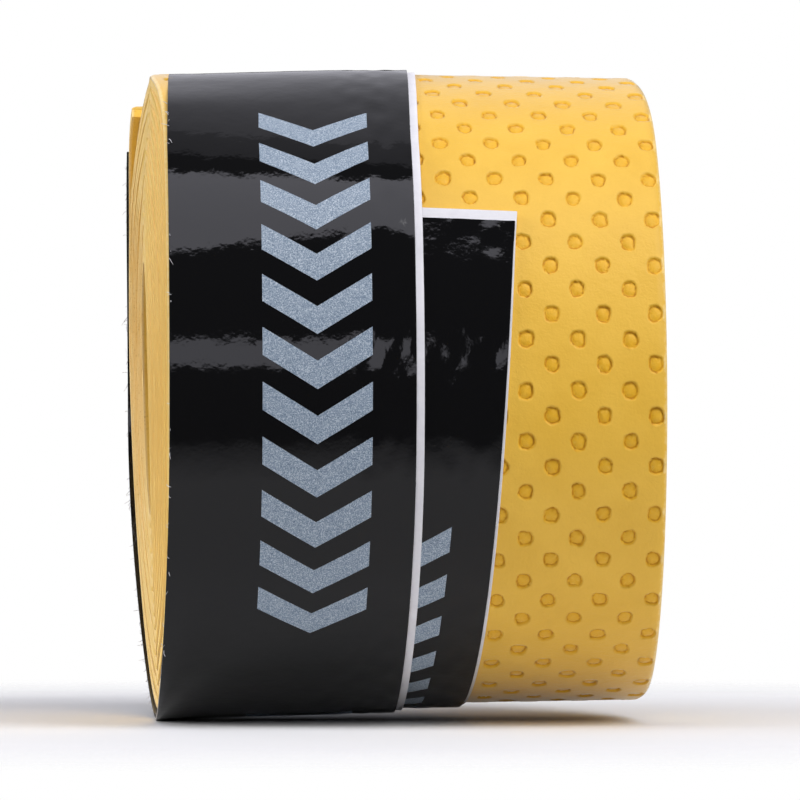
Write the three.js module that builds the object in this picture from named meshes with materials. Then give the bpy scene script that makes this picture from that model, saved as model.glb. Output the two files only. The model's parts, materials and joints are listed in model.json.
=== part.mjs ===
// Racket grip tape, rolled up without a core and closed by its printed finishing strip.
//
// Millimetres. +X runs along the roll's axis, from the end that the finishing strip covers to the plain
// end, and +Z is up. The roll lies on its side, with its origin at the bottom centre of its box.
//
// Angles are degrees round the axis: 0 faces -Y, 90 is the top, 180 faces +Y and 270 is the bottom.
// Every band is described from its free outer end inwards, so its angle grows past 360 on its way in.
// All bands share the same facets, so that neighbouring turns lie parallel.

import * as THREE from 'three';

// Roll
const ROLL_RADIUS = 16.9;
const TURN_PITCH = 0.65;
const TURNS = 15.15;
const FACET = 15;
const FIRST_STATION = FACET / 2;
const FULL_TURN = 360;

// Grip tape
const TAPE_WIDTH = 25;
const SKIN_THICKNESS = 0.2;
const BACKING_THICKNESS = 0.4;
const LAMINATE_GAP = 0.01;
const TAPE_END = 116;
const TAPE_START = TAPE_END + FULL_TURN * TURNS;

// Sideways drift of the outer turns, which lean out of the covered end at the back of the roll
const DRIFT = 1.4;
const DRIFT_FADE = 640;
const DRIFT_RISE = [60, 108];
const DRIFT_FALL = [185, 285];

// Tapered starter end in the middle of the roll
const TAPER_LENGTH = 65;
const TAPER_TIP_WIDTH = 8;
const STARTER_LENGTH = 30;
const STARTER_MARGIN = 0.8;
const ADHESIVE_THICKNESS = 0.08;
const RELEASE_PAPER_THICKNESS = 0.07;

// Finishing strip
const STRIP_WIDTH = 12.4;
const LINER_THICKNESS = 0.11;
const VINYL_THICKNESS = 0.13;
const STRIP_GAP = 0.02;
const STRIP_PITCH = LINER_THICKNESS + LAMINATE_GAP + VINYL_THICKNESS + STRIP_GAP;
const STRIP_END = 129.6;
const STRIP_START = 755;
const STRIP_RIGHT_EDGE = 12.8;
const STRIP_SKEW = 4.8;
const SKEW_ANGLE = 345;
const SKEW_POWER = 1.25;
const LINER_SHOWS = [0.08, 0.4];
const LINER_SHIFT_ANGLE = 300;
const TAIL_HINGE = 163;
const HINGE_GAP = 0.4;

function smoothstep(value, [low, high]) {
  return THREE.MathUtils.smoothstep(value, low, high);
}

function roundTheRoll(angle) {
  return THREE.MathUtils.euclideanModulo(angle, FULL_TURN);
}

function polar(radius, angle) {
  const radians = THREE.MathUtils.degToRad(angle);
  return new THREE.Vector2(-radius * Math.cos(radians), radius * Math.sin(radians));
}

// The point at an angle on the faceted spiral whose corners lie at radiusAt.
function pointOnFacets(radiusAt, angle) {
  const corner = FIRST_STATION + FACET * Math.floor((angle - FIRST_STATION) / FACET);
  const start = polar(radiusAt(corner), corner);
  const end = polar(radiusAt(corner + FACET), corner + FACET);
  return start.lerp(end, (angle - corner) / FACET);
}

// Angles of a band's two ends and of each facet corner between them.
function stationsBetween(from, to) {
  const stations = [from];
  const firstCorner = FIRST_STATION + FACET * Math.ceil((from - FIRST_STATION) / FACET);
  for (let corner = firstCorner; corner < to; corner += FACET) {
    if (corner > from) stations.push(corner);
  }
  stations.push(to);
  return stations;
}

// A flat strip wound round the roll: a box whose Y runs inwards along the band, X across it, Z outwards.
function windBand(name, band, material) {
  const stations = stationsBetween(band.from, band.to);
  const segments = stations.length - 1;
  const geometry = new THREE.BoxGeometry(1, 1, 1, 1, segments, 1);
  const corners = geometry.attributes.position;
  for (let i = 0; i < corners.count; i += 1) {
    const angle = stations[Math.round((corners.getY(i) + 0.5) * segments)];
    const outward = corners.getZ(i) > 0 ? band.thickness : 0;
    const x = corners.getX(i) < 0 ? band.left(angle) : band.right(angle);
    const point = pointOnFacets((corner) => band.inside(corner) + outward, angle);
    corners.setXYZ(i, x, point.x, point.y);
  }
  geometry.computeVertexNormals();
  const mesh = new THREE.Mesh(geometry, material);
  mesh.name = name;
  return mesh;
}

// Grip tape

function tapeFace(angle) {
  return ROLL_RADIUS - (TURN_PITCH * (angle - TAPE_END)) / FULL_TURN;
}

function skinInside(angle) {
  return tapeFace(angle) - SKIN_THICKNESS;
}

function backingInside(angle) {
  return skinInside(angle) - LAMINATE_GAP - BACKING_THICKNESS;
}

function tapeDrift(angle) {
  const place = roundTheRoll(angle);
  const reach = DRIFT * Math.exp((TAPE_END - angle) / DRIFT_FADE);
  return reach * smoothstep(place, DRIFT_RISE) * (1 - smoothstep(place, DRIFT_FALL));
}

function tapeLeft(angle) {
  return -tapeDrift(angle);
}

function degreesAtCore(length) {
  return THREE.MathUtils.radToDeg(length / backingInside(TAPE_START));
}

function tapeRight(angle) {
  const taperedFrom = TAPE_START - degreesAtCore(TAPER_LENGTH);
  const share = THREE.MathUtils.clamp((angle - taperedFrom) / (TAPE_START - taperedFrom), 0, 1);
  const width = THREE.MathUtils.lerp(TAPE_WIDTH, TAPER_TIP_WIDTH, share);
  return tapeLeft(angle) + width;
}

function makeTape() {
  const skin = { from: TAPE_END, to: TAPE_START, inside: skinInside, thickness: SKIN_THICKNESS };
  const backing = { from: TAPE_END, to: TAPE_START, inside: backingInside, thickness: BACKING_THICKNESS };
  const edges = { left: tapeLeft, right: tapeRight };
  const yellowSkin = new THREE.MeshStandardMaterial({ color: 0xe6b858, roughness: 0.6, metalness: 0 });
  const paleFoam = new THREE.MeshStandardMaterial({ color: 0xe9c88f, roughness: 0.9, metalness: 0 });
  return [
    windBand('grip_tape_skin', { ...skin, ...edges }, yellowSkin),
    windBand('grip_tape_backing', { ...backing, ...edges }, paleFoam),
  ];
}

// Starter patch: adhesive and its release paper, on the face of the tape that meets the handle

function adhesiveInside(angle) {
  return backingInside(angle) - LAMINATE_GAP - ADHESIVE_THICKNESS;
}

function releasePaperInside(angle) {
  return adhesiveInside(angle) - LAMINATE_GAP - RELEASE_PAPER_THICKNESS;
}

function makeStarter() {
  const patch = {
    from: TAPE_START - degreesAtCore(STARTER_LENGTH),
    to: TAPE_START - degreesAtCore(STARTER_MARGIN),
    left: (angle) => tapeLeft(angle) + STARTER_MARGIN,
    right: (angle) => tapeRight(angle) - STARTER_MARGIN,
  };
  const adhesive = { ...patch, inside: adhesiveInside, thickness: ADHESIVE_THICKNESS };
  const paper = { ...patch, inside: releasePaperInside, thickness: RELEASE_PAPER_THICKNESS };
  const clearGlue = new THREE.MeshStandardMaterial({ color: 0xe8e0c8, roughness: 0.35, metalness: 0 });
  const whitePaper = new THREE.MeshStandardMaterial({ color: 0xf2f1ec, roughness: 0.7, metalness: 0 });
  return [
    windBand('starter_adhesive', adhesive, clearGlue),
    windBand('starter_release_paper', paper, whitePaper),
  ];
}

// Finishing strip: printed vinyl on its release liner, wound 1.74 turns from the inside out

// The tape's face under the strip, held up for one facet where the strip spans the tape's cut end.
function faceUnderStrip(angle) {
  const inwards = roundTheRoll(angle - TAPE_END);
  const spansEnd = inwards > FULL_TURN - FACET;
  return tapeFace(TAPE_END + (spansEnd ? 0 : inwards));
}

function linerInside(angle) {
  const liesOnItself = angle + FULL_TURN < STRIP_START + FACET;
  return faceUnderStrip(angle) + STRIP_GAP + (liesOnItself ? STRIP_PITCH : 0);
}

function vinylInside(angle) {
  return linerInside(angle) + LINER_THICKNESS + LAMINATE_GAP;
}

// How far the strip's outer turn follows the drift of the tape under it.
function stripDrift(angle) {
  const atBottom = 0.2 * (1 - smoothstep(angle, [270, 360]));
  const atBack = 1.3 * (1 - smoothstep(angle, [185, 270]));
  const atEnd = 0.15 * (1 - smoothstep(angle, [STRIP_END, 185]));
  return atBottom + atBack + atEnd;
}

function linerRight(angle) {
  const unwound = Math.max(0, 1 - (STRIP_START - angle) / SKEW_ANGLE);
  return STRIP_RIGHT_EDGE + STRIP_SKEW * Math.pow(unwound, SKEW_POWER) - stripDrift(angle);
}

function vinylRight(angle) {
  const share = Math.min(1, (STRIP_START - angle) / LINER_SHIFT_ANGLE);
  return linerRight(angle) - THREE.MathUtils.lerp(LINER_SHOWS[0], LINER_SHOWS[1], share);
}

function makeStrip() {
  const liner = {
    inside: linerInside,
    thickness: LINER_THICKNESS,
    left: (angle) => linerRight(angle) - STRIP_WIDTH,
    right: linerRight,
  };
  const vinyl = {
    inside: vinylInside,
    thickness: VINYL_THICKNESS,
    left: (angle) => vinylRight(angle) - STRIP_WIDTH,
    right: vinylRight,
  };
  const wound = { from: TAIL_HINGE + HINGE_GAP / 2, to: STRIP_START };
  const tail = { from: STRIP_END, to: TAIL_HINGE - HINGE_GAP / 2 };
  const blackVinyl = new THREE.MeshStandardMaterial({ color: 0x111112, roughness: 0.12, metalness: 0 });
  const whiteLiner = new THREE.MeshStandardMaterial({ color: 0xf0f0ee, roughness: 0.7, metalness: 0 });
  return [
    windBand('strip_liner', { ...liner, ...wound }, whiteLiner),
    windBand('strip_vinyl', { ...vinyl, ...wound }, blackVinyl),
    windBand('strip_tail_liner', { ...liner, ...tail }, whiteLiner),
    windBand('strip_tail_vinyl', { ...vinyl, ...tail }, blackVinyl),
  ];
}

const roll = new THREE.Group();
roll.add(...makeTape(), ...makeStarter(), ...makeStrip());

const box = new THREE.Box3().setFromObject(roll);
const middle = box.getCenter(new THREE.Vector3());
roll.position.set(-middle.x, -middle.y, -box.min.z);

export default roll;
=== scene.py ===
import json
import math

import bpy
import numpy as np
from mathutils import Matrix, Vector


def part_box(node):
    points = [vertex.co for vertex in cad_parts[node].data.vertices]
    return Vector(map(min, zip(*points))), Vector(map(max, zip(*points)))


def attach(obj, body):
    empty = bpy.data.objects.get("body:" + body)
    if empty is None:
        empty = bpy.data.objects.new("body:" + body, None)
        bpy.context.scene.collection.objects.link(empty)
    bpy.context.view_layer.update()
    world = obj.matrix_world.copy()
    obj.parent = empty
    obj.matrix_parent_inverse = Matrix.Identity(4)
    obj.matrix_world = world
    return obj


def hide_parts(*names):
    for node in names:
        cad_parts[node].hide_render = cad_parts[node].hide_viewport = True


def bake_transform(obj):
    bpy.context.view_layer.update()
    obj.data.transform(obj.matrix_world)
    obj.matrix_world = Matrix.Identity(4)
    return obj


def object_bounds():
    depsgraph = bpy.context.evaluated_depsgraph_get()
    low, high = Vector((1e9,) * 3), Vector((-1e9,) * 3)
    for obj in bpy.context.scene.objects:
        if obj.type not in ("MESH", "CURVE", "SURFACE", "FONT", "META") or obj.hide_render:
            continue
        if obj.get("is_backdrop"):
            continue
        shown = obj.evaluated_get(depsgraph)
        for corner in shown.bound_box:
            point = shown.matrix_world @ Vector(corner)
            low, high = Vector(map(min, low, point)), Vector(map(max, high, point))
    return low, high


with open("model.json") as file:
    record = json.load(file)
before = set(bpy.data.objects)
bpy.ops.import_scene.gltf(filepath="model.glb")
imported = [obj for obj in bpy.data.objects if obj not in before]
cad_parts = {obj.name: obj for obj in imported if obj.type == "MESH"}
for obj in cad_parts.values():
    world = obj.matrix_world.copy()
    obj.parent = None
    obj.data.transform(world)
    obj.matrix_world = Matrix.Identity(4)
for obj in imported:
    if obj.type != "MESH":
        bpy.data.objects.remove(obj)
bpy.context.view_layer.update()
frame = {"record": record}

# A racket grip tape, rolled up without a core and closed by its printed finishing strip.
#
# Sizes here are millimetres and degrees, apart from the stage, which is in metres. place() turns them
# into the frame's metres. x runs across the tape from its covered end. Angles go round the roll: 0
# faces -Y, 90 is the top, 180 faces +Y. Every band is described from its free outer end inwards, so
# its angle grows past 360 on the way.

MM = 0.001
FULL_TURN = 360.0

# Roll
FACE_RADIUS = 16.76
PITCH = 0.65
TURNS = 15.15
TAPE_WIDTH = 25.0
SKIN = 0.2
BACKING = 0.444
TAPE_END = 118.0
TAPE_START = TAPE_END + FULL_TURN * TURNS
OUTER_SKIN_TO = 486.0

# How the wound tape strays from a true cylinder
TAPER = 0.17
TAPER_FROM = 13.0
FLARE = 0.72
FLARE_WIDTH = 11.5
FLARE_AT = 270.0
FLARE_ANGLE = 75.0
FLARE_FADE = 900.0
LEAN = 1.38
LEAN_AT_TOP = 0.7
END_LEAN = 0.48
SKEW = 0.085
CORE_LEAN = 0.62
WANDER = 0.012

# Dimples, in every second cell of a grid whose columns are counted from the tape's open edge. A cell
# has CELL_STEPS steps each way, and the skin's hidden side one column for every UNDER_CELLS cells.
ROW_PITCH = 1.30
COLUMN_PITCH = 1.31
FIRST_ROW_ANGLE = 363.7
FIRST_COLUMN = 0.52
COLUMNS = 19
MOST_ROWS = 200
CELL_STEPS = 5
UNDER_CELLS = 5
DIMPLE_ACROSS = 0.405
DIMPLE_ALONG = 0.465
DIMPLE_SCATTER = 0.018
LAST_DIMPLE_IN = 0.02
DIMPLE_CLEARANCE = 0.03
# The dome's painted shade: how far its colour is darkened towards the groove's shaded colour
DOME_HEIGHT = -0.08
DOME_PAINTED_SHADE = 0.35
# Rings round the dome: share of the dimple's radius, height and painted shade (the groove darkened in
# colour)
DIMPLE_RINGS = (
    (0.64, -0.08, 0.4),
    (0.84, -0.125, 1.0),
    (0.97, -0.10, 0.6),
    (1.10, 0.012, 0.0),
    (1.22, 0.0, 0.0),
)

# The skin's cut edges. FACE_PAINT keeps the cut's colour off the face, and CUT_FROM and CUT_SIDE are
# distances from the tape's middle.
EDGE_ROLL = 0.1
EDGE_ROLL_WIDTH = 0.35
SIDE_BULGE = 0.012
SIDE_BULGE_DEPTH = 0.62
FACE_PAINT = 0.12
CUT_FROM = TAPE_WIDTH / 2 - 0.1
CUT_SIDE = TAPE_WIDTH / 2 - 0.008

# Starter patch
TAPER_LENGTH = 65.0
TAPER_TIP = 8.0
STARTER_LENGTH = 30.0
STARTER_SETBACK = 0.6

# Finishing strip
STRIP_WIDTH = 12.4
VINYL_WIDTH = 12.36
VINYL_END = 132.6
PRINT_LENGTH = 150.0
LINER = 0.11
VINYL = 0.13
LAYER = LINER + VINYL + 0.01
LAYER_GAP = 0.003
STRIP_GAP = 0.012
STRIP_END = 131.2
STRIP_START = 753.5
VINYL_START = 751.4
STRIP_RIGHT = 12.8
STRIP_SKEW = 4.8
STRIP_SKEW_OVER = 345.0
MARGIN = 0.08
MARGIN_WIDENS = 0.32
MARGIN_WIDENS_OVER = 300.0
STRIP_MIDDLE = 6.0
END_SPAN = 15.9
STIFF_END = 10.5
STIFF_LIFT = 0.19
# The strip's start is cut aslant by this many degrees for each millimetre across
START_LEAN = 0.12
START_LEAN_OVER = 8.0
TAIL_FROM = 172.0
TAIL_HINGE = 163.0
TAIL_HINGE_SPAN = 9.0
# Degrees past the strip's start: where it stiffens, and where the turn above comes down off it
STIFFENS = (-15.5, -0.5)
COMES_DOWN = (-3.5, 26.5)
SUNK_AT = 40.0

# Light
COOL_WHITE = (0.96, 0.955, 1.07)

axis_y, axis_z = np.mean(frame["record"]["physics"]["openings"][0]["box_m"], axis=0)[1:] / MM
tape_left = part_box("grip_tape_backing")[1][0] / MM - TAPE_WIDTH
chance = np.random.default_rng(7)


def place(x, radius, angle):
    """Points in the frame, in metres, from x, radius and angle."""
    turn = np.radians(angle)
    y = axis_y - radius * np.cos(turn)
    z = axis_z + radius * np.sin(turn)
    return np.stack(np.broadcast_arrays(tape_left + x, y, z), axis=-1) * MM


def smoothstep(value, low, high):
    t = np.clip((value - low) / (high - low), 0, 1)
    return t * t * (3 - 2 * t)


def ripple(u, v, wavelength, seed, waves=28):
    """A smooth random field of about unit height, the same each run."""
    draw = np.random.default_rng(seed)
    heading = draw.uniform(0, 2 * math.pi, waves)
    number = 2 * math.pi / (wavelength * draw.uniform(0.6, 1.6, waves))
    phase = draw.uniform(0, 2 * math.pi, waves)
    total = sum(
        np.sin(k * (u * math.cos(h) + v * math.sin(h)) + p)
        for h, k, p in zip(heading, number, phase)
    )
    return total * math.sqrt(2 / waves)


# The wound tape's shape


def flare(angle, x):
    """The outer turns stand off a little at the bottom of the covered end."""
    side = np.clip(1 - x / FLARE_WIDTH, 0, 1) ** 1.3
    away = np.clip((angle % FULL_TURN - FLARE_AT) / FLARE_ANGLE, -1, 1)
    fade = np.exp((TAPE_END - angle) / FLARE_FADE)
    return FLARE * side * np.cos(away * math.pi / 2) ** 2 * fade


def tape_face(angle, x):
    taper = TAPER * np.clip((x - TAPER_FROM) / (TAPE_WIDTH - TAPER_FROM), 0, 1) ** 1.2
    return FACE_RADIUS - PITCH * (angle - TAPE_END) / FULL_TURN - taper + flare(angle, x)


def lean_at_rim(spot):
    """How far the left end leans out at an angle round its rim: most at the back, none in front."""
    rise = LEAN_AT_TOP * smoothstep(spot, 50, 112) + (LEAN - LEAN_AT_TOP) * smoothstep(spot, 105, 150)
    return rise * (1 - smoothstep(spot, 165, 300))


def tape_left_edge(angle):
    """Left edge of the tape: the core stands out nearly as far as the back of the rim."""
    radius = FACE_RADIUS - PITCH * (angle - TAPE_END) / FULL_TURN
    turn = np.radians(angle)
    height = np.arcsin(np.clip(radius * np.sin(turn) / FACE_RADIUS, -0.999, 0.999))
    front, back = lean_at_rim(np.degrees(height) % FULL_TURN), lean_at_rim(180 - np.degrees(height))
    depth = np.clip((1 - radius * np.cos(turn) / (FACE_RADIUS * np.cos(height))) / 2, 0, 1)
    share = CORE_LEAN * smoothstep(depth, 0, 0.3) + (1 - CORE_LEAN) * smoothstep(depth, 0.7, 1)
    lean = front + (back - front) * share
    free_end = END_LEAN * (1 - smoothstep(angle, TAPE_END, 150))
    wander = np.sin(0.37 * turn + 1) + np.sin(1.21 * turn) + 0.6 * np.sin(2.63 * turn + 2)
    skew = SKEW * np.sin(turn)
    return -lean - free_end - skew + WANDER * wander * smoothstep(angle, TAPE_END + 300, TAPE_END + 700)


def degrees_at_core(length):
    core = tape_face(TAPE_START, TAPE_WIDTH / 2) - SKIN - BACKING
    return math.degrees(length / core)


def tape_right_edge(angle):
    tapered_from = TAPE_START - degrees_at_core(TAPER_LENGTH)
    share = np.clip((angle - tapered_from) / (TAPE_START - tapered_from), 0, 1)
    return tape_left_edge(angle) + TAPE_WIDTH + (TAPER_TIP - TAPE_WIDTH) * share


def arc_lengths(angles, x=TAPE_WIDTH / 2, radius=tape_face):
    """Length along a band up to each of its angles."""
    radii = radius(angles, x)
    steps = np.radians(np.diff(angles)) * (radii[1:] + radii[:-1]) / 2
    return np.concatenate([[0], np.cumsum(steps)])


# Mesh makers


def add_mesh(name, points, faces, attributes=None, sharp=None):
    mesh = bpy.data.meshes.new(name)
    mesh.from_pydata(points.reshape(-1, 3).tolist(), [], faces)
    for key, values in (attributes or {}).items():
        layer = mesh.attributes.new(key, "FLOAT", "POINT")
        layer.data.foreach_set("value", np.asarray(values, np.float32).ravel())
    mesh.polygons.foreach_set("use_smooth", [True] * len(mesh.polygons))
    if sharp is not None:
        mesh.set_sharp_from_angle(angle=math.radians(sharp))
    mesh.update()
    mesh.validate()
    piece = bpy.data.objects.new(name, mesh)
    bpy.context.scene.collection.objects.link(piece)
    return piece


def round_edges(columns, bulge, steps):
    """A band's closed section: rows of (share across, mm past that share, share of the thickness)."""
    shares = np.linspace(0, 1, columns + 1)
    outer = [(s, 0, 1) for s in shares]
    inner = [(s, 0, 0) for s in shares[::-1]]
    outer[0], outer[-1] = (0, bulge, 1), (1, -bulge, 1)
    inner[0], inner[-1] = (1, -bulge, 0), (0, bulge, 0)
    heights = np.linspace(1, 0, steps + 2)[1:-1]
    right = [(1, -bulge * abs(2 * h - 1) ** 2, h) for h in heights]
    left = [(0, bulge * abs(2 * h - 1) ** 2, h) for h in heights[::-1]]
    return np.array(outer + right + inner + left)


def wind(name, angles, section, left, right, inside, thickness, shape=None, start_lean=0, sharp=60):
    """A closed band wound round the roll, as a loop of section points carried along the angles."""
    angles = np.asarray(angles, float)[:, None]
    share, past, height = section.T[:, None, :]
    x = left(angles) * (1 - share) + right(angles) * share + past
    if start_lean:
        near_start = smoothstep(angles, angles[-1] - START_LEAN_OVER, angles[-1])
        angles = angles - start_lean * near_start * (x - left(angles))
    along = arc_lengths(angles[:, 0], radius=inside)[:, None] + 0 * x
    across = x - left(angles)
    radius = inside(angles, x) + height * thickness
    if shape is not None:
        x, radius = shape(angles, x, radius, share, height, along)
    points = place(x, radius, angles + 0 * x)
    count, loop = x.shape
    i = np.arange(count - 1)[:, None] * loop
    j = np.arange(loop)[None, :]
    k = (j + 1) % loop
    quads = np.stack([i + j, i + k, i + k + loop, i + j + loop], axis=-1).reshape(-1, 4)
    faces = quads.tolist()
    faces.append(list(range(loop))[::-1])
    faces.append(list(range((count - 1) * loop, count * loop)))
    return add_mesh(name, points, faces, {"along": along, "across": across}, sharp)


# Tape face: the outer turn, with its dimples as geometry


def roll_off(x):
    """How far the tape's face drops towards its cut edges."""
    nearest = np.minimum(x, TAPE_WIDTH - x)
    return -EDGE_ROLL * np.clip(1 - nearest / EDGE_ROLL_WIDTH, 0, 1) ** 2


def dimple_rings(directions):
    """One dimple's rings as offsets, heights and painted shade: a rough, uneven groove about a low dome.
    """
    phase = chance.uniform(0, 2 * math.pi, 3)
    pointed = 0.03 * np.cos(2 * directions + phase[0]) - 0.025 * np.cos(4 * directions)
    wobble = 1 + pointed + 0.03 * np.cos(3 * directions + phase[1])
    wobble += 0.015 * np.cos(5 * directions + phase[2])
    wobble = (wobble + chance.normal(0, 0.03, len(directions))) * chance.uniform(0.93, 1.03)
    deep = chance.uniform(0.85, 1.15)
    across = DIMPLE_ACROSS * wobble * np.cos(directions)
    along = DIMPLE_ALONG * wobble * np.sin(directions)
    rough = 1 + chance.normal(0, 0.1, (len(DIMPLE_RINGS), len(directions)))
    rings = []
    # Each ring's painted shade varies round it, so that the shaded groove looks rough
    for (share, height, painted_shade), uneven in zip(DIMPLE_RINGS, rough):
        torn = share * (0.75 + 0.25 * uneven)
        painted_shade = np.clip(painted_shade * (3 * uneven - 2), 0, 1)
        rings.append((torn * across, torn * along, height * deep * uneven, painted_shade))
    return rings


class Patchwork:
    """Points of the tape's face, as length along, x, height and painted shade, and the faces between
    them.
    """

    def __init__(self):
        self.points = []
        self.faces = []
        self.count = 0

    def add(self, along, x, height=0.0, painted_shade=0.0):
        """Add points and give back their numbers."""
        parts = [np.ravel(part) for part in (along, x, height, painted_shade)]
        self.points.append(np.stack(np.broadcast_arrays(*parts)))
        first = self.count
        self.count += self.points[-1].shape[1]
        return list(range(first, self.count))

    def fan(self, middle, loop):
        for k, point in enumerate(loop):
            self.faces.append((middle, point, loop[(k + 1) % len(loop)]))

    def ring(self, inner, outer):
        for k in range(len(outer)):
            m = (k + 1) % len(outer)
            self.faces.append((inner[k], outer[k], outer[m], inner[m]))

    def in_use(self):
        """Numbers of the points that some face uses, and the faces with those points renumbered."""
        used = np.unique([point for face in self.faces for point in face])
        renumbered = np.zeros(self.count, int)
        renumbered[used] = np.arange(len(used))
        renumbered = renumbered.tolist()
        return used, [[renumbered[point] for point in face] for face in self.faces]


def split_cells(edges):
    """Every cell edge and the CELL_STEPS - 1 lines between it and the next."""
    share = np.arange(CELL_STEPS) / CELL_STEPS
    return np.append((edges[:-1, None] + np.diff(edges)[:, None] * share).ravel(), edges[-1])


def add_dimple(work, along, x, directions, border):
    """One dimple about a middle point, out to the points on its cell's border."""
    inner = work.add(along, x, DOME_HEIGHT, DOME_PAINTED_SHADE)
    for across, onward, height, painted_shade in dimple_rings(directions):
        loop_x = np.minimum(x + across, TAPE_WIDTH - DIMPLE_CLEARANCE)
        loop = work.add(along + onward, loop_x, height, painted_shade)
        if len(inner) == 1:
            work.fan(inner[0], loop)
        else:
            work.ring(inner, loop)
        inner = loop
    work.ring(inner, border)


def add_cells(work, row_edges, column_edges, shown_rows, parity):
    """The grid of cells: dimpled in a staggered pattern where it can be seen, and plain elsewhere."""
    rows, columns = split_cells(row_edges), split_cells(column_edges)
    wide, n = len(columns), CELL_STEPS
    grid_along, grid_x = (part.ravel() for part in np.meshgrid(rows, columns, indexing="ij"))
    work.add(grid_along, grid_x)
    steps = [(0, c) for c in range(n)] + [(r, n) for r in range(n)]
    steps += [(n, c) for c in range(n, 0, -1)] + [(r, 0) for r in range(n, 0, -1)]
    last_column = len(column_edges) - 2
    for row in range(len(row_edges) - 1):
        for column in range(last_column + 1):
            corner = row * n * wide + column * n
            border = [corner + r * wide + c for r, c in steps]
            along = (row_edges[row] + row_edges[row + 1]) / 2
            x = column_edges[column] + COLUMN_PITCH / 2
            shown = 0 < row < shown_rows and column > 0
            if shown and (last_column - column + row + parity) % 2 == 1:
                directions = np.arctan2(grid_along[border] - along, grid_x[border] - x)
                along += chance.normal(0, DIMPLE_SCATTER)
                x += chance.normal(0, DIMPLE_SCATTER) - (LAST_DIMPLE_IN if column == last_column else 0)
                add_dimple(work, along, x, directions, border)
            elif 0 < column < last_column:
                work.fan(work.add(along, x)[0], border)
            else:
                for a in (corner + r * wide + c for r in range(n) for c in range(n)):
                    work.faces.append((a, a + 1, a + 1 + wide, a + wide))


def close_under(work, rows, columns):
    """The hidden side of the skin, on the same rows, with the cut edges and ends up to the face."""
    under_columns = np.append(columns[:: UNDER_CELLS * CELL_STEPS][:-1], TAPE_WIDTH)
    top = np.arange(len(rows) * len(columns)).reshape(len(rows), -1).tolist()
    low = work.add(*np.meshgrid(rows, under_columns, indexing="ij"), -SKIN)
    low = np.reshape(low, (len(rows), -1)).tolist()
    sides_x = np.tile([-SIDE_BULGE, TAPE_WIDTH + SIDE_BULGE], len(rows))
    side = work.add(np.repeat(rows, 2), sides_x, -SIDE_BULGE_DEPTH * SKIN)
    side = np.reshape(side, (len(rows), 2)).tolist()
    for r in range(len(rows) - 1):
        for c in range(len(under_columns) - 1):
            work.faces.append((low[r][c], low[r + 1][c], low[r + 1][c + 1], low[r][c + 1]))
        work.faces.append((top[r][0], top[r + 1][0], side[r + 1][0], side[r][0]))
        work.faces.append((side[r][0], side[r + 1][0], low[r + 1][0], low[r][0]))
        work.faces.append((top[r][-1], side[r][1], side[r + 1][1], top[r + 1][-1]))
        work.faces.append((side[r][1], low[r][-1], low[r + 1][-1], side[r + 1][1]))
    for r, flip in ((0, -1), (len(rows) - 1, 1)):
        work.faces.append((top[r] + [side[r][1]] + low[r][::-1] + [side[r][0]])[::flip])


def keep_flat_between(mesh, flat, angle, x):
    """Give the face between dimples its own smooth normals, so that a dimple's shade doesn't spread."""

    def face_at(angle, x):
        return place(x + tape_left_edge(angle), tape_face(angle, x), angle)

    normals = np.empty(3 * len(mesh.vertices), np.float32)
    mesh.vertices.foreach_get("normal", normals)
    normals = normals.reshape(-1, 3)
    step = 0.2
    across = face_at(angle, x + step) - face_at(angle, x - step)
    onward = face_at(angle + step, x) - face_at(angle - step, x)
    smooth = np.cross(across, onward)
    smooth /= np.linalg.norm(smooth, axis=1)[:, None]
    smooth *= np.sign(np.sum(smooth * normals, axis=1))[:, None]
    normals[flat] = smooth[flat]
    mesh.normals_split_custom_set_from_vertices(normals.tolist())


def outer_skin():
    """The tape's face over its outermost turn."""
    angles = np.linspace(TAPE_END, OUTER_SKIN_TO + 10, 4000)
    lengths = arc_lengths(angles)
    end_length, first_row, covered_from = np.interp(
        [OUTER_SKIN_TO, FIRST_ROW_ANGLE, TAPE_END + FULL_TURN], angles, lengths
    )
    rows_before = math.floor(first_row / ROW_PITCH - 0.5)
    row_edges = first_row + ROW_PITCH * (np.arange(-rows_before, MOST_ROWS) - 0.5)
    row_edges = np.concatenate([[0], row_edges[row_edges < end_length]])
    last_edge = TAPE_WIDTH - (FIRST_COLUMN + COLUMN_PITCH / 2)
    column_edges = last_edge - COLUMN_PITCH * np.arange(COLUMNS)[::-1]
    column_edges = np.concatenate([[0], column_edges, [TAPE_WIDTH]])

    work = Patchwork()
    add_cells(work, row_edges, column_edges, np.searchsorted(row_edges, covered_from), rows_before % 2)
    face_points = work.count
    close_under(work, split_cells(row_edges), split_cells(column_edges))
    used, faces = work.in_use()
    along, x, height, groove = np.concatenate(work.points, axis=1)
    height[:face_points] += roll_off(x[:face_points])
    along, x, height, groove = along[used], x[used], height[used], groove[used]

    angle = np.interp(along, lengths, angles)
    points = place(x + tape_left_edge(angle), tape_face(angle, x) + height, angle)
    painted = np.clip(x, FACE_PAINT, TAPE_WIDTH - FACE_PAINT)
    across = np.where((x < 0) | (x > TAPE_WIDTH), x, painted)
    # The groove attribute carries the painted shade of the dimples' domes and grooves
    attributes = {"along": along, "across": across, "groove": groove}
    piece = add_mesh("tape_face_outer_turn", points, faces, attributes)
    flat = (height == 0) & (np.abs(x - TAPE_WIDTH / 2) < TAPE_WIDTH / 2 - EDGE_ROLL_WIDTH)
    keep_flat_between(piece.data, flat, angle, x)
    return piece


def stations(start, end, step):
    return np.linspace(start, end, max(2, round((end - start) / step)) + 1)


def inner_skin():
    """The tape's face from the second turn to the tapered starter end."""
    angles = stations(OUTER_SKIN_TO - 0.5, TAPE_START, 3)
    section = round_edges(columns=6, bulge=0.006, steps=3)
    piece = wind(
        "tape_face_inner_turns", angles, section, tape_left_edge, tape_right_edge,
        lambda angle, x: tape_face(angle, x) - SKIN, SKIN,
    )
    length = arc_lengths(angles)[-1]
    return piece


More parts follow.
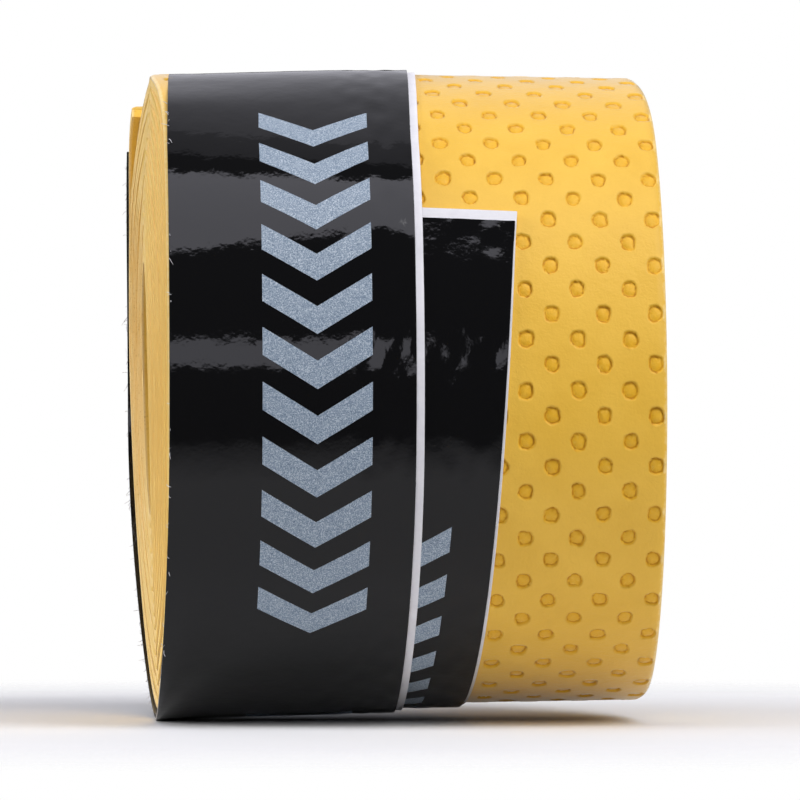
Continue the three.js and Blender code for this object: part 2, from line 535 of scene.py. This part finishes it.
def backing():
    """The foam backing, its cut edges swelling slightly past the skin's."""
    angles = stations(TAPE_END, TAPE_START, 2.5)
    section = round_edges(columns=6, bulge=0.004, steps=4)
    overlap, swelling, roughness = 0.003, 0.005, 0.004

    def cut_edge(angle, x, radius, share, height, along):
        uneven = roughness * ripple(along, height * 3, wavelength=1.7, seed=3)
        swell = swelling * (1 - (2 * height - 1) ** 2) + uneven
        side = np.where(share == 1, 1, np.where(share == 0, -1, 0))
        return x + side * swell, radius

    piece = wind(
        "tape_backing", angles, section, tape_left_edge, tape_right_edge,
        lambda angle, x: tape_face(angle, x) - SKIN - BACKING + overlap, BACKING, cut_edge,
    )
    length = arc_lengths(angles)[-1]
    return piece


# Starter patch in the core hole


def starter(name, thickness, depth, margin, length, wavelength, lift):
    """A thin patch on the handle side of the tape's tapered end."""
    outer, inner = TAPE_START - degrees_at_core(length), TAPE_START - degrees_at_core(STARTER_SETBACK)
    angles = stations(outer, inner, 2)

    def crumple(angle, x, radius, share, height, along):
        return x, radius - lift * (1 + 0.8 * ripple(along, x, wavelength, seed=11)) / 1.8

    return wind(
        name, angles, round_edges(columns=10, bulge=0.01, steps=1),
        lambda angle: tape_left_edge(angle) + margin,
        lambda angle: tape_right_edge(angle) - margin,
        lambda angle, x: tape_face(angle, x) - SKIN - BACKING - depth - thickness, thickness, crumple,
    )


# Finishing strip


def face_under_strip(angle, x):
    """The tape's face, and the straight span of the strip where it steps down off the tape's cut end."""
    inwards = (angle - TAPE_END) % FULL_TURN
    low = tape_face(TAPE_END + inwards, x)
    share = np.clip((inwards - FULL_TURN + END_SPAN) / END_SPAN, 0, 1)
    return low + (tape_face(TAPE_END, x) - low) * share**2


def strip_drift(angle):
    """How far the strip's outer turn strays left: a little at the bottom, and most up the back."""
    back_from, back_to, bottom_from, bottom_to = 185, 270, 272, 350
    bottom = 0.38 * (1 - smoothstep(angle, bottom_from, bottom_to))
    back = 1.12 * (1 - smoothstep(angle, back_from, back_to))
    return bottom + back + 0.15 * (1 - smoothstep(angle, STRIP_END, back_from))


def liner_right(angle):
    """Right edge of the strip, which was started askew, further right than its outer turn lies."""
    skew = np.maximum(0, 1 - (STRIP_START - angle) / STRIP_SKEW_OVER) ** 1.25
    return STRIP_RIGHT + STRIP_SKEW * skew - strip_drift(angle)


def liner_left(angle):
    return liner_right(angle) - STRIP_WIDTH


def vinyl_right(angle):
    """Right edge of the vinyl, which leaves a white margin of liner that widens from the start."""
    widened = np.clip((STRIP_START - angle) / MARGIN_WIDENS_OVER, 0, 1)
    return liner_right(angle) - MARGIN - MARGIN_WIDENS * widened


def vinyl_left(angle):
    return vinyl_right(angle) - VINYL_WIDTH


def pressed(x):
    """How much of the under layer shows through the turn above it, across the strip."""
    return smoothstep(x, -1.5, 11.0)


def liner_inside(angle, x):
    """Where the liner lies: on the tape, or over its own stiff start, which sinks in where covered."""
    straight = np.radians(np.clip(angle - STRIP_START + STIFF_END, 0, STIFF_END))
    start_lift = FACE_RADIUS * (1 / np.cos(straight) - 1)
    past_start = angle + FULL_TURN - STRIP_START
    off_start = COMES_DOWN[1]
    stiff = STIFF_LIFT * smoothstep(past_start, *STIFFENS)
    over = LAYER * (1 - smoothstep(past_start, *COMES_DOWN))
    over += stiff * (1 - smoothstep(past_start, STIFFENS[1], off_start))
    under = smoothstep(past_start, off_start, SUNK_AT)
    hidden = LAYER + STIFF_LIFT * smoothstep(angle - STRIP_START, *STIFFENS)
    lift = (1 - under) * over * pressed(x) + under * (start_lift + hidden * (pressed(x) - 1))
    return face_under_strip(angle, x) + STRIP_GAP + lift


def vinyl_inside(angle, x):
    return liner_inside(angle, x) + LINER + LAYER_GAP


def film_waves(angle, x, radius, share, height, along):
    """The uneven pull of a film wound by hand, which bends its reflections."""
    waves = 0.0030 * ripple(along, x * 0.8, wavelength=6.0, seed=21)
    waves += 0.0022 * ripple(along * 0.9, x * 1.6, wavelength=2.4, seed=22)
    waves += 0.0011 * ripple(along * 0.35, x, wavelength=0.85, seed=23)
    near_right = smoothstep(share, 0.62, 0.8)
    waves += 0.0085 * near_right * ripple(along * 0.5, x, wavelength=1.1, seed=24)
    return x, radius + waves


def strip_piece(name, node, bodies, angles, layer, start_lean):
    """One layer of the strip over some angles: riding on one body, or, where it spans two, left fixed in
    place.
    """
    columns, left, right, inside, thickness, shape = layer
    section = round_edges(columns, bulge=0.02, steps=1)
    piece = wind(name, angles, section, left, right, inside, thickness, shape, start_lean, sharp=35)
    # Lengths run from the strip's inner end, so that the print carries on from piece to piece
    behind = 0
    if angles[-1] < STRIP_START:
        behind = arc_lengths(stations(angles[-1], STRIP_START, 1), STRIP_MIDDLE, inside)[-1]
    along = piece.data.attributes["along"]
    values = np.empty(len(piece.data.vertices), np.float32)
    along.data.foreach_get("value", values)
    along.data.foreach_set("value", values.max() - values + behind)
    length = arc_lengths(angles, STRIP_MIDDLE, inside)[-1]
    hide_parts(node)
    if len(bodies) == 1:
        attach(piece, bodies[0])
    else:
        start, end = hinge_point(TAIL_HINGE), hinge_point(TAIL_HINGE - TAIL_HINGE_SPAN)
        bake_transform(piece)
    return piece


def hinge_point(angle):
    radius = vinyl_inside(np.array([float(angle)]), STRIP_MIDDLE) + VINYL
    return tuple(place(STRIP_MIDDLE, radius, angle)[0])


def lint(name, body, angles):
    """Paper fluff caught on the strip's cut left edge: short curved fibres, each a closed thin tube."""
    points, faces = [], []
    sides, joints = 3, 5
    for angle in angles:
        length, thick = chance.uniform(0.1, 0.34), chance.uniform(0.012, 0.021)
        lean_x, lean_a, bend = chance.uniform(-0.9, 0.35), chance.uniform(-1, 1), chance.normal(0, 0.5)
        start_x = vinyl_left(np.array(angle)) + chance.uniform(-0.02, 0.12)
        for j in np.linspace(0, 1, joints):
            x = start_x + length * j * (lean_x + bend * j * 0.6)
            height = 0.012 + 0.1 * math.sin(j * 2.4)
            turned = angle + math.degrees(length * j * (lean_a - bend * j) / FACE_RADIUS)
            radius = vinyl_inside(np.array(turned), np.maximum(start_x, 0)) + VINYL + height
            for side in range(sides):
                way = 2 * math.pi * side / sides
                across, up = (thick * (1 - 0.5 * j) * part for part in (math.cos(way), math.sin(way)))
                around = turned + math.degrees(across / FACE_RADIUS)
                points.append(place(x + across, radius + up, around))
        first = len(points) - sides * joints
        for j in range(joints - 1):
            for side in range(sides):
                a, b = first + j * sides + side, first + j * sides + (side + 1) % sides
                faces.append((a, b, b + sides, a + sides))
        faces.append(tuple(first + side for side in range(sides))[::-1])
        faces.append(tuple(first + (joints - 1) * sides + side for side in range(sides)))
    piece = add_mesh(name, np.array(points), faces)
    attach(piece, body)
    return piece


# Materials


class Finish:
    """A material with one Principled shader and short names for the nodes that feed it."""

    def __init__(self, name, **constants):
        self.material = bpy.data.materials.new(name)
        self.material.use_nodes = True
        self.nodes = self.material.node_tree.nodes
        self.links = self.material.node_tree.links
        self.shader = self.nodes["Principled BSDF"]
        for key, value in constants.items():
            socket = key.replace("_", " ").title().replace("Ior", "IOR")
            self.shader.inputs[socket].default_value = value
        self.object_point = self.nodes.new("ShaderNodeTexCoord").outputs["Object"]

    def connect(self, value, socket):
        if isinstance(value, (int, float)):
            socket.default_value = value
        elif isinstance(value, tuple):
            socket.default_value = (*value, 1)
        else:
            self.links.new(value, socket)

    def feed(self, socket, value):
        self.connect(value, self.shader.inputs[socket])

    def math(self, operation, *values, clamp=False):
        node = self.nodes.new("ShaderNodeMath")
        node.operation = operation
        node.use_clamp = clamp
        for value, socket in zip(values, node.inputs):
            self.connect(value, socket)
        return node.outputs[0]

    def distance(self, value, middle):
        return self.math("ABSOLUTE", self.math("SUBTRACT", value, middle))

    def attribute(self, name):
        node = self.nodes.new("ShaderNodeAttribute")
        node.attribute_name = name
        return node.outputs["Fac"]

    def vector(self, x, y, z=0.0):
        node = self.nodes.new("ShaderNodeCombineXYZ")
        for value, socket in zip((x, y, z), node.inputs):
            self.connect(value, socket)
        return node.outputs[0]

    def noise(self, size_mm, detail=2.0, roughness=0.5, point_mm=None):
        """Noise whose features are about size_mm across, on the object or on a point in millimetres."""
        node = self.nodes.new("ShaderNodeTexNoise")
        self.connect(point_mm or self.object_point, node.inputs["Vector"])
        node.inputs["Scale"].default_value = 1 / (size_mm if point_mm else size_mm * MM)
        node.inputs["Detail"].default_value = detail
        node.inputs["Roughness"].default_value = roughness
        return node.outputs["Fac"]

    def ramp(self, value, *stops):
        node = self.nodes.new("ShaderNodeValToRGB")
        elements = node.color_ramp.elements
        while len(elements) < len(stops):
            elements.new(0.5)
        for element, (position, colour) in zip(elements, stops):
            element.position = position
            element.color = (*colour, 1) if isinstance(colour, tuple) else (colour, colour, colour, 1)
        self.connect(value, node.inputs[0])
        return node.outputs[0]

    def mix(self, share, a, b):
        node = self.nodes.new("ShaderNodeMix")
        node.data_type = "RGBA"
        self.connect(share, node.inputs[0])
        self.connect(a, node.inputs[6])
        self.connect(b, node.inputs[7])
        return node.outputs[2]

    def bump(self, height, depth_mm, strength=1.0):
        node = self.nodes.new("ShaderNodeBump")
        node.inputs["Distance"].default_value = depth_mm * MM
        node.inputs["Strength"].default_value = strength
        self.connect(height, node.inputs["Height"])
        self.feed("Normal", node.outputs[0])


def yellow_skin(name, sheen):
    """Matt yellow polyurethane: faint mottling, fine grain, painted shade in the dimples' grooves and a
    few specks of dirt.
    """
    finish = Finish(
        name, roughness=0.45, specular_ior_level=0.3, ior=1.45, sheen_weight=sheen, sheen_roughness=0.36
    )
    mottle = finish.noise(3.2, 3, 0.6)
    colour = finish.ramp(mottle, (0.3, (0.78, 0.46, 0.05)), (0.7, (0.84, 0.51, 0.065)))
    grain = finish.ramp(finish.noise(0.12, 2, 0.6), (0.3, 0.0), (0.8, 0.16))
    colour = finish.mix(grain, colour, (0.70, 0.38, 0.04))
    # Painted shade: the dimples' domes and grooves darkened and turned more orange, deepest in the
    # groove
    groove = finish.attribute("groove")
    painted_groove_edge_shade = finish.math("MULTIPLY", groove, 2.0, clamp=True)
    colour = finish.mix(painted_groove_edge_shade, colour, (0.80, 0.43, 0.014))
    painted_groove_deep_shade = finish.math("MULTIPLY_ADD", groove, 2.0, -1.0, clamp=True)
    colour = finish.mix(painted_groove_deep_shade, colour, (0.60, 0.26, 0.001))
    from_middle = finish.distance(finish.attribute("across"), TAPE_WIDTH / 2)
    past_cut = finish.math("SUBTRACT", from_middle, CUT_FROM)
    past_cut = finish.math("MULTIPLY_ADD", finish.noise(0.3, 3, 0.7), 0.16, past_cut)
    frayed = finish.math("MULTIPLY", past_cut, 14.0, clamp=True)
    colour = finish.mix(frayed, colour, (0.91, 0.66, 0.25))
    cut_side = finish.math("GREATER_THAN", from_middle, CUT_SIDE)
    colour = finish.mix(cut_side, colour, (0.86, 0.57, 0.13))
    specks = finish.ramp(finish.noise(0.9, 6, 0.75), (0.745, 0.0), (0.78, 0.5))
    colour = finish.mix(specks, colour, (0.33, 0.22, 0.08))
    finish.feed("Base Color", colour)
    finish.feed("Roughness", finish.ramp(mottle, (0.3, 0.40), (0.7, 0.50)))
    relief = finish.math("MULTIPLY_ADD", finish.noise(0.45, 3, 0.6), 1.6, finish.noise(0.13, 3, 0.65))
    torn = finish.math("MULTIPLY", finish.noise(0.09, 3, 0.7), groove)
    relief = finish.math("MULTIPLY_ADD", torn, 3.0, relief)
    finish.bump(relief, 0.02, 0.7)
    return finish.material


def pale_foam(name):
    """Cut foam and fibre: pale cream, more golden inside and at the front, streaked along the cut, with
    painted shade in its pores.
    """
    finish = Finish(name, roughness=0.9, specular_ior_level=0.15)
    along, across = finish.attribute("along"), finish.attribute("across")
    drawn_out = finish.vector(finish.math("MULTIPLY", along, 0.3), finish.math("MULTIPLY", across, 6.0))
    streaks = finish.noise(1.0, 4, 0.65, drawn_out)
    cream = finish.ramp(
        streaks, (0.33, (0.87, 0.60, 0.23)), (0.5, (0.91, 0.66, 0.28)), (0.68, (0.92, 0.70, 0.35))
    )
    golden = finish.ramp(streaks, (0.33, (0.88, 0.59, 0.15)), (0.6, (0.93, 0.67, 0.21)))
    split = finish.nodes.new("ShaderNodeSeparateXYZ")
    finish.connect(finish.object_point, split.inputs[0])
    # Wholly golden this far in front of the roll's middle
    golden_by = 14 * MM
    front = finish.math("MULTIPLY_ADD", split.outputs["Y"], -1 / golden_by, 0.0, clamp=True)
    colour = finish.mix(front, cream, golden)
    from_middle = finish.distance(across, TAPE_WIDTH / 2)
    from_cut = finish.math("SUBTRACT", TAPE_WIDTH / 2 - 0.05, from_middle)
    inside = finish.math("MULTIPLY", from_cut, 10.0, clamp=True)
    colour = finish.mix(inside, colour, (0.86, 0.53, 0.09))
    # Painted shade in the foam's pores: small dark golden-brown specks where the pits would be shaded
    painted_pore_shade = finish.ramp(finish.noise(0.16, 4, 0.8), (0.33, 0.6), (0.43, 0.0))
    finish.feed("Base Color", finish.mix(painted_pore_shade, colour, (0.52, 0.27, 0.04)))
    finish.bump(finish.noise(0.11, 4, 0.7), 0.03, 0.6)
    return finish.material


def paper(name):
    """Coated release paper with faint fibres and cloudiness."""
    finish = Finish(name, roughness=0.6, specular_ior_level=0.4)
    light, shade = (0.82, 0.81, 0.84), (0.72, 0.71, 0.75)
    tone = finish.ramp(finish.noise(1.4, 5, 0.7), (0.3, shade), (0.65, light))
    fibre = finish.noise(0.08, 3, 0.6)
    finish.feed("Base Color", finish.mix(finish.ramp(fibre, (0.3, 0.25), (0.6, 0.0)), tone, shade))
    finish.bump(fibre, 0.01, 0.5)
    return finish.material


def tacky_film(name):
    """Starter adhesive: pale, slightly shiny and streaked."""
    finish = Finish(name, roughness=0.3, specular_ior_level=0.5, coat_weight=0.3, coat_roughness=0.2)
    streaks = finish.noise(0.8, 4, 0.6)
    finish.feed("Base Color", finish.ramp(streaks, (0.3, (0.66, 0.56, 0.36)), (0.7, (0.80, 0.72, 0.52))))
    finish.bump(finish.noise(0.3, 3, 0.6), 0.02, 0.5)
    return finish.material


def printed_vinyl(name):
    """Glossy black vinyl with rows of chevrons in speckled silver-grey ink."""
    finish = Finish(name, roughness=0.05, ior=1.5, specular_ior_level=0.28)
    # Along the strip from its inner end: where the first row of chevrons starts, a row's length and the
    # step to the next row, then a chevron's stroke and the step to the next chevron
    first_row, row, row_step = 18.6, 28.95, 40.2
    stroke, chevron_step = 1.42, 2.75
    slant = 0.62
    left, right = 4.65, 10.15
    off_middle = finish.distance(finish.attribute("across"), (left + right) / 2)
    run = finish.math("SUBTRACT", finish.attribute("along"), first_row)
    run = finish.math("ADD", run, finish.math("MULTIPLY", off_middle, slant))
    in_row = finish.math("FLOORED_MODULO", run, row_step)
    in_chevron = finish.math("LESS_THAN", finish.math("FLOORED_MODULO", in_row, chevron_step), stroke)
    ink = finish.math("MULTIPLY", finish.math("LESS_THAN", in_row, row), in_chevron)
    within = finish.math("LESS_THAN", off_middle, (right - left) / 2)
    printed = finish.math("COMPARE", run, PRINT_LENGTH / 2, PRINT_LENGTH / 2)
    ink = finish.math("MULTIPLY", ink, finish.math("MULTIPLY", within, printed))
    speckle = finish.noise(0.06, 2, 0.7)
    silver = finish.ramp(
        speckle, (0.36, (0.12, 0.17, 0.24)), (0.47, (0.21, 0.27, 0.34)), (0.55, (0.31, 0.37, 0.44)),
        (0.66, (0.53, 0.59, 0.66)),
    )
    dust = finish.ramp(finish.noise(0.5, 6, 0.8), (0.73, 0.0), (0.77, 0.10))
    black = finish.mix(dust, (0.004, 0.004, 0.0045), (0.30, 0.30, 0.32))
    finish.feed("Base Color", finish.mix(ink, black, silver))
    haze = finish.ramp(finish.noise(2.5, 5, 0.7), (0.35, 0.02), (0.7, 0.05))
    finish.feed("Roughness", finish.math("MAXIMUM", finish.math("MULTIPLY", ink, 0.42), haze))
    fine = finish.math("MULTIPLY", speckle, 0.15)
    peel = finish.math("MULTIPLY_ADD", finish.noise(0.2, 3, 0.7), 0.5, fine)
    peel = finish.math("MULTIPLY_ADD", finish.noise(1.3, 3, 0.6), 5.0, peel)
    finish.bump(finish.math("MULTIPLY_ADD", ink, 0.4, peel), 0.01, 0.4)
    return finish.material


def build():
    yellow = yellow_skin("yellow_polyurethane", sheen=0.75)
    cut_yellow = yellow_skin("yellow_polyurethane_cut", sheen=0.0)
    foam = pale_foam("pale_foam")
    white = paper("white_release_paper")
    vinyl = printed_vinyl("black_vinyl")
    outer, inner, back = outer_skin(), inner_skin(), backing()
    glue = starter(
        "starter_adhesive_film", thickness=0.07, depth=0.004, margin=0.8, length=STARTER_LENGTH,
        wavelength=4.0, lift=0.004,
    )
    release = starter(
        "starter_paper", thickness=0.06, depth=0.085, margin=0.7, length=STARTER_LENGTH + 1.5,
        wavelength=5.0, lift=0.02,
    )
    for piece, finish, node, slot in (
        (outer, yellow, "grip_tape_skin", "yellow_polyurethane"),
        (inner, cut_yellow, "grip_tape_skin", "yellow_polyurethane"),
        (back, foam, "grip_tape_backing", "pale_foam"),
        (glue, tacky_film("adhesive"), "starter_adhesive", "adhesive"),
        (release, white, "starter_release_paper", "white_release_paper"),
    ):
        piece.data.materials.append(finish)
        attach(piece, "roll")
        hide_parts(node)

    wound_liner = stations(TAIL_FROM, STRIP_START, 1.5)
    wound_vinyl = stations(TAIL_FROM, VINYL_START, 1)
    tail_liner = stations(STRIP_END, TAIL_FROM, 0.75)
    tail_vinyl = stations(VINYL_END, TAIL_FROM, 0.75)
    liner_layer = (24, liner_left, liner_right, liner_inside, LINER, None)
    vinyl_layer = (64, vinyl_left, vinyl_right, vinyl_inside, VINYL, film_waves)
    wound, tail = ("finishing_strip",), ("finishing_strip", "strip_tail")
    for name, node, bodies, angles, layer, lean in (
        ("finishing_strip_liner", "strip_liner", wound, wound_liner, liner_layer, START_LEAN),
        ("finishing_strip_face", "strip_vinyl", wound, wound_vinyl, vinyl_layer, START_LEAN),
        ("strip_tail_liner_end", "strip_tail_liner", tail, tail_liner, liner_layer, 0),
        ("strip_tail_face", "strip_tail_vinyl", tail, tail_vinyl, vinyl_layer, 0),
    ):
        piece = strip_piece(name, node, bodies, angles, layer, lean)
        piece.data.materials.append(vinyl if layer is vinyl_layer else white)

    front_fluff, back_fluff = chance.uniform(300, 425, 30), chance.uniform(165, 262, 150)
    for name, body, angles in (
        ("strip_lint", "finishing_strip", np.concatenate([front_fluff, back_fluff])),
        ("tail_lint", "strip_tail", chance.uniform(134, 152, 22)),
    ):
        piece = lint(name, body, angles)
        piece.data.materials.append(white)


# Stage


def softbox(name, azimuth, elevation, distance, size, radiance, colour=(1, 1, 1), shift=(0, 0, 0)):
    """A soft light that faces the roll; azimuth 0 is the camera's side and 90 is +X."""
    light = bpy.data.lights.new(name, "AREA")
    light.shape = "RECTANGLE"
    light.size, light.size_y = size
    light.energy = radiance * math.pi * size[0] * size[1]
    light.color = colour
    lamp = bpy.data.objects.new(name, light)
    a, e = math.radians(azimuth), math.radians(elevation)
    away = Vector((math.sin(a) * math.cos(e), -math.cos(a) * math.cos(e), math.sin(e)))
    lamp.location = Vector((0, axis_y * MM, axis_z * MM)) + away * distance + Vector(shift)
    lamp.rotation_euler = away.to_track_quat("Z", "Y").to_euler()
    lamp.visible_camera = False
    bpy.context.scene.collection.objects.link(lamp)


def overhead_arc(name, start, end, radiance, width=0.7):
    """A panel that fills the sky between two heights, counted from the camera's side over the top."""
    distance = 0.6
    middle, half = (start + end) / 2, math.radians(end - start) / 2
    azimuth, elevation = (0, middle) if middle < 90 else (180, 180 - middle)
    size = width, 2 * distance * math.tan(half)
    softbox(name, azimuth, elevation, distance, size, radiance, COOL_WHITE)


def floor():
    """A pale round floor that fades out towards its rim."""
    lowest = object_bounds()[0][2]
    ground = bpy.data.meshes.new("floor")
    reach, fade_from, sides = 0.062, 0.036, 128
    around = np.linspace(0, 2 * math.pi, sides, endpoint=False)
    rim = [(reach * math.cos(a), reach * math.sin(a), lowest) for a in around]
    ground.from_pydata(rim, [], [list(range(sides))])
    piece = bpy.data.objects.new("floor", ground)
    bpy.context.scene.collection.objects.link(piece)
    finish = Finish("floor_white", roughness=0.9, specular_ior_level=0.1)
    finish.feed("Base Color", finish.ramp(finish.noise(30, 2), (0.3, 0.77), (0.7, 0.79)))
    length = finish.nodes.new("ShaderNodeVectorMath")
    length.operation = "LENGTH"
    finish.connect(finish.object_point, length.inputs[0])
    faded = finish.math("SUBTRACT", reach, length.outputs["Value"])
    finish.feed("Alpha", finish.math("DIVIDE", faded, reach - fade_from, clamp=True))
    ground.materials.append(finish.material)
    piece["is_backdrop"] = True


def lights():
    overhead_arc("front_panel", 49, 83, radiance=2.85, width=0.5)
    overhead_arc("ceiling_gap", 92.5, 105, radiance=0.36)
    overhead_arc("back_panel", 105, 170, radiance=0.62)
    softbox(
        "front_slit", azimuth=0, elevation=12.2, distance=0.55, size=(0.32, 0.094), radiance=2.15,
        colour=COOL_WHITE, shift=(-0.138, 0, 0),
    )
    softbox("right_side", azimuth=46, elevation=38, distance=0.6, size=(0.4, 0.5), radiance=4.4)
    softbox("left_side", azimuth=-84, elevation=18, distance=0.6, size=(0.35, 0.45), radiance=5.1)


def room():
    """A white background behind the object, of which little light reaches it."""
    world = bpy.data.worlds.new("white_room")
    bpy.context.scene.world = world
    world.use_nodes = True
    nodes, links = world.node_tree.nodes, world.node_tree.links
    fill, backdrop = nodes["Background"], nodes.new("ShaderNodeBackground")
    fill.inputs["Color"].default_value = (0.07, 0.07, 0.07, 1)
    backdrop.inputs["Color"].default_value = (1, 1, 1, 1)
    mixer = nodes.new("ShaderNodeMixShader")
    links.new(nodes.new("ShaderNodeLightPath").outputs["Is Camera Ray"], mixer.inputs[0])
    links.new(fill.outputs[0], mixer.inputs[1])
    links.new(backdrop.outputs[0], mixer.inputs[2])
    links.new(mixer.outputs[0], nodes["World Output"].inputs["Surface"])
    bpy.context.scene.view_settings.view_transform = "Standard"


def camera():
    """From just left of square on, level with the roll and close, as in a packshot."""
    yaw, distance = 2.9, 426.0
    aim_x, aim_drop = 12.4, 0.73
    aim = Vector((tape_left + aim_x, axis_y, axis_z - aim_drop)) * MM
    lens = bpy.data.cameras.new("camera")
    lens.lens, lens.sensor_width = 368.6, 36.0
    lens.clip_start, lens.clip_end = 0.01, 20
    eye = bpy.data.objects.new("camera", lens)
    a = math.radians(-yaw)
    back = Vector((math.sin(a), -math.cos(a), 0))
    eye.location = aim + back * distance * MM
    eye.rotation_euler = back.to_track_quat("Z", "Y").to_euler()
    bpy.context.scene.collection.objects.link(eye)
    bpy.context.scene.camera = eye


build()
floor()
lights()
room()
camera()
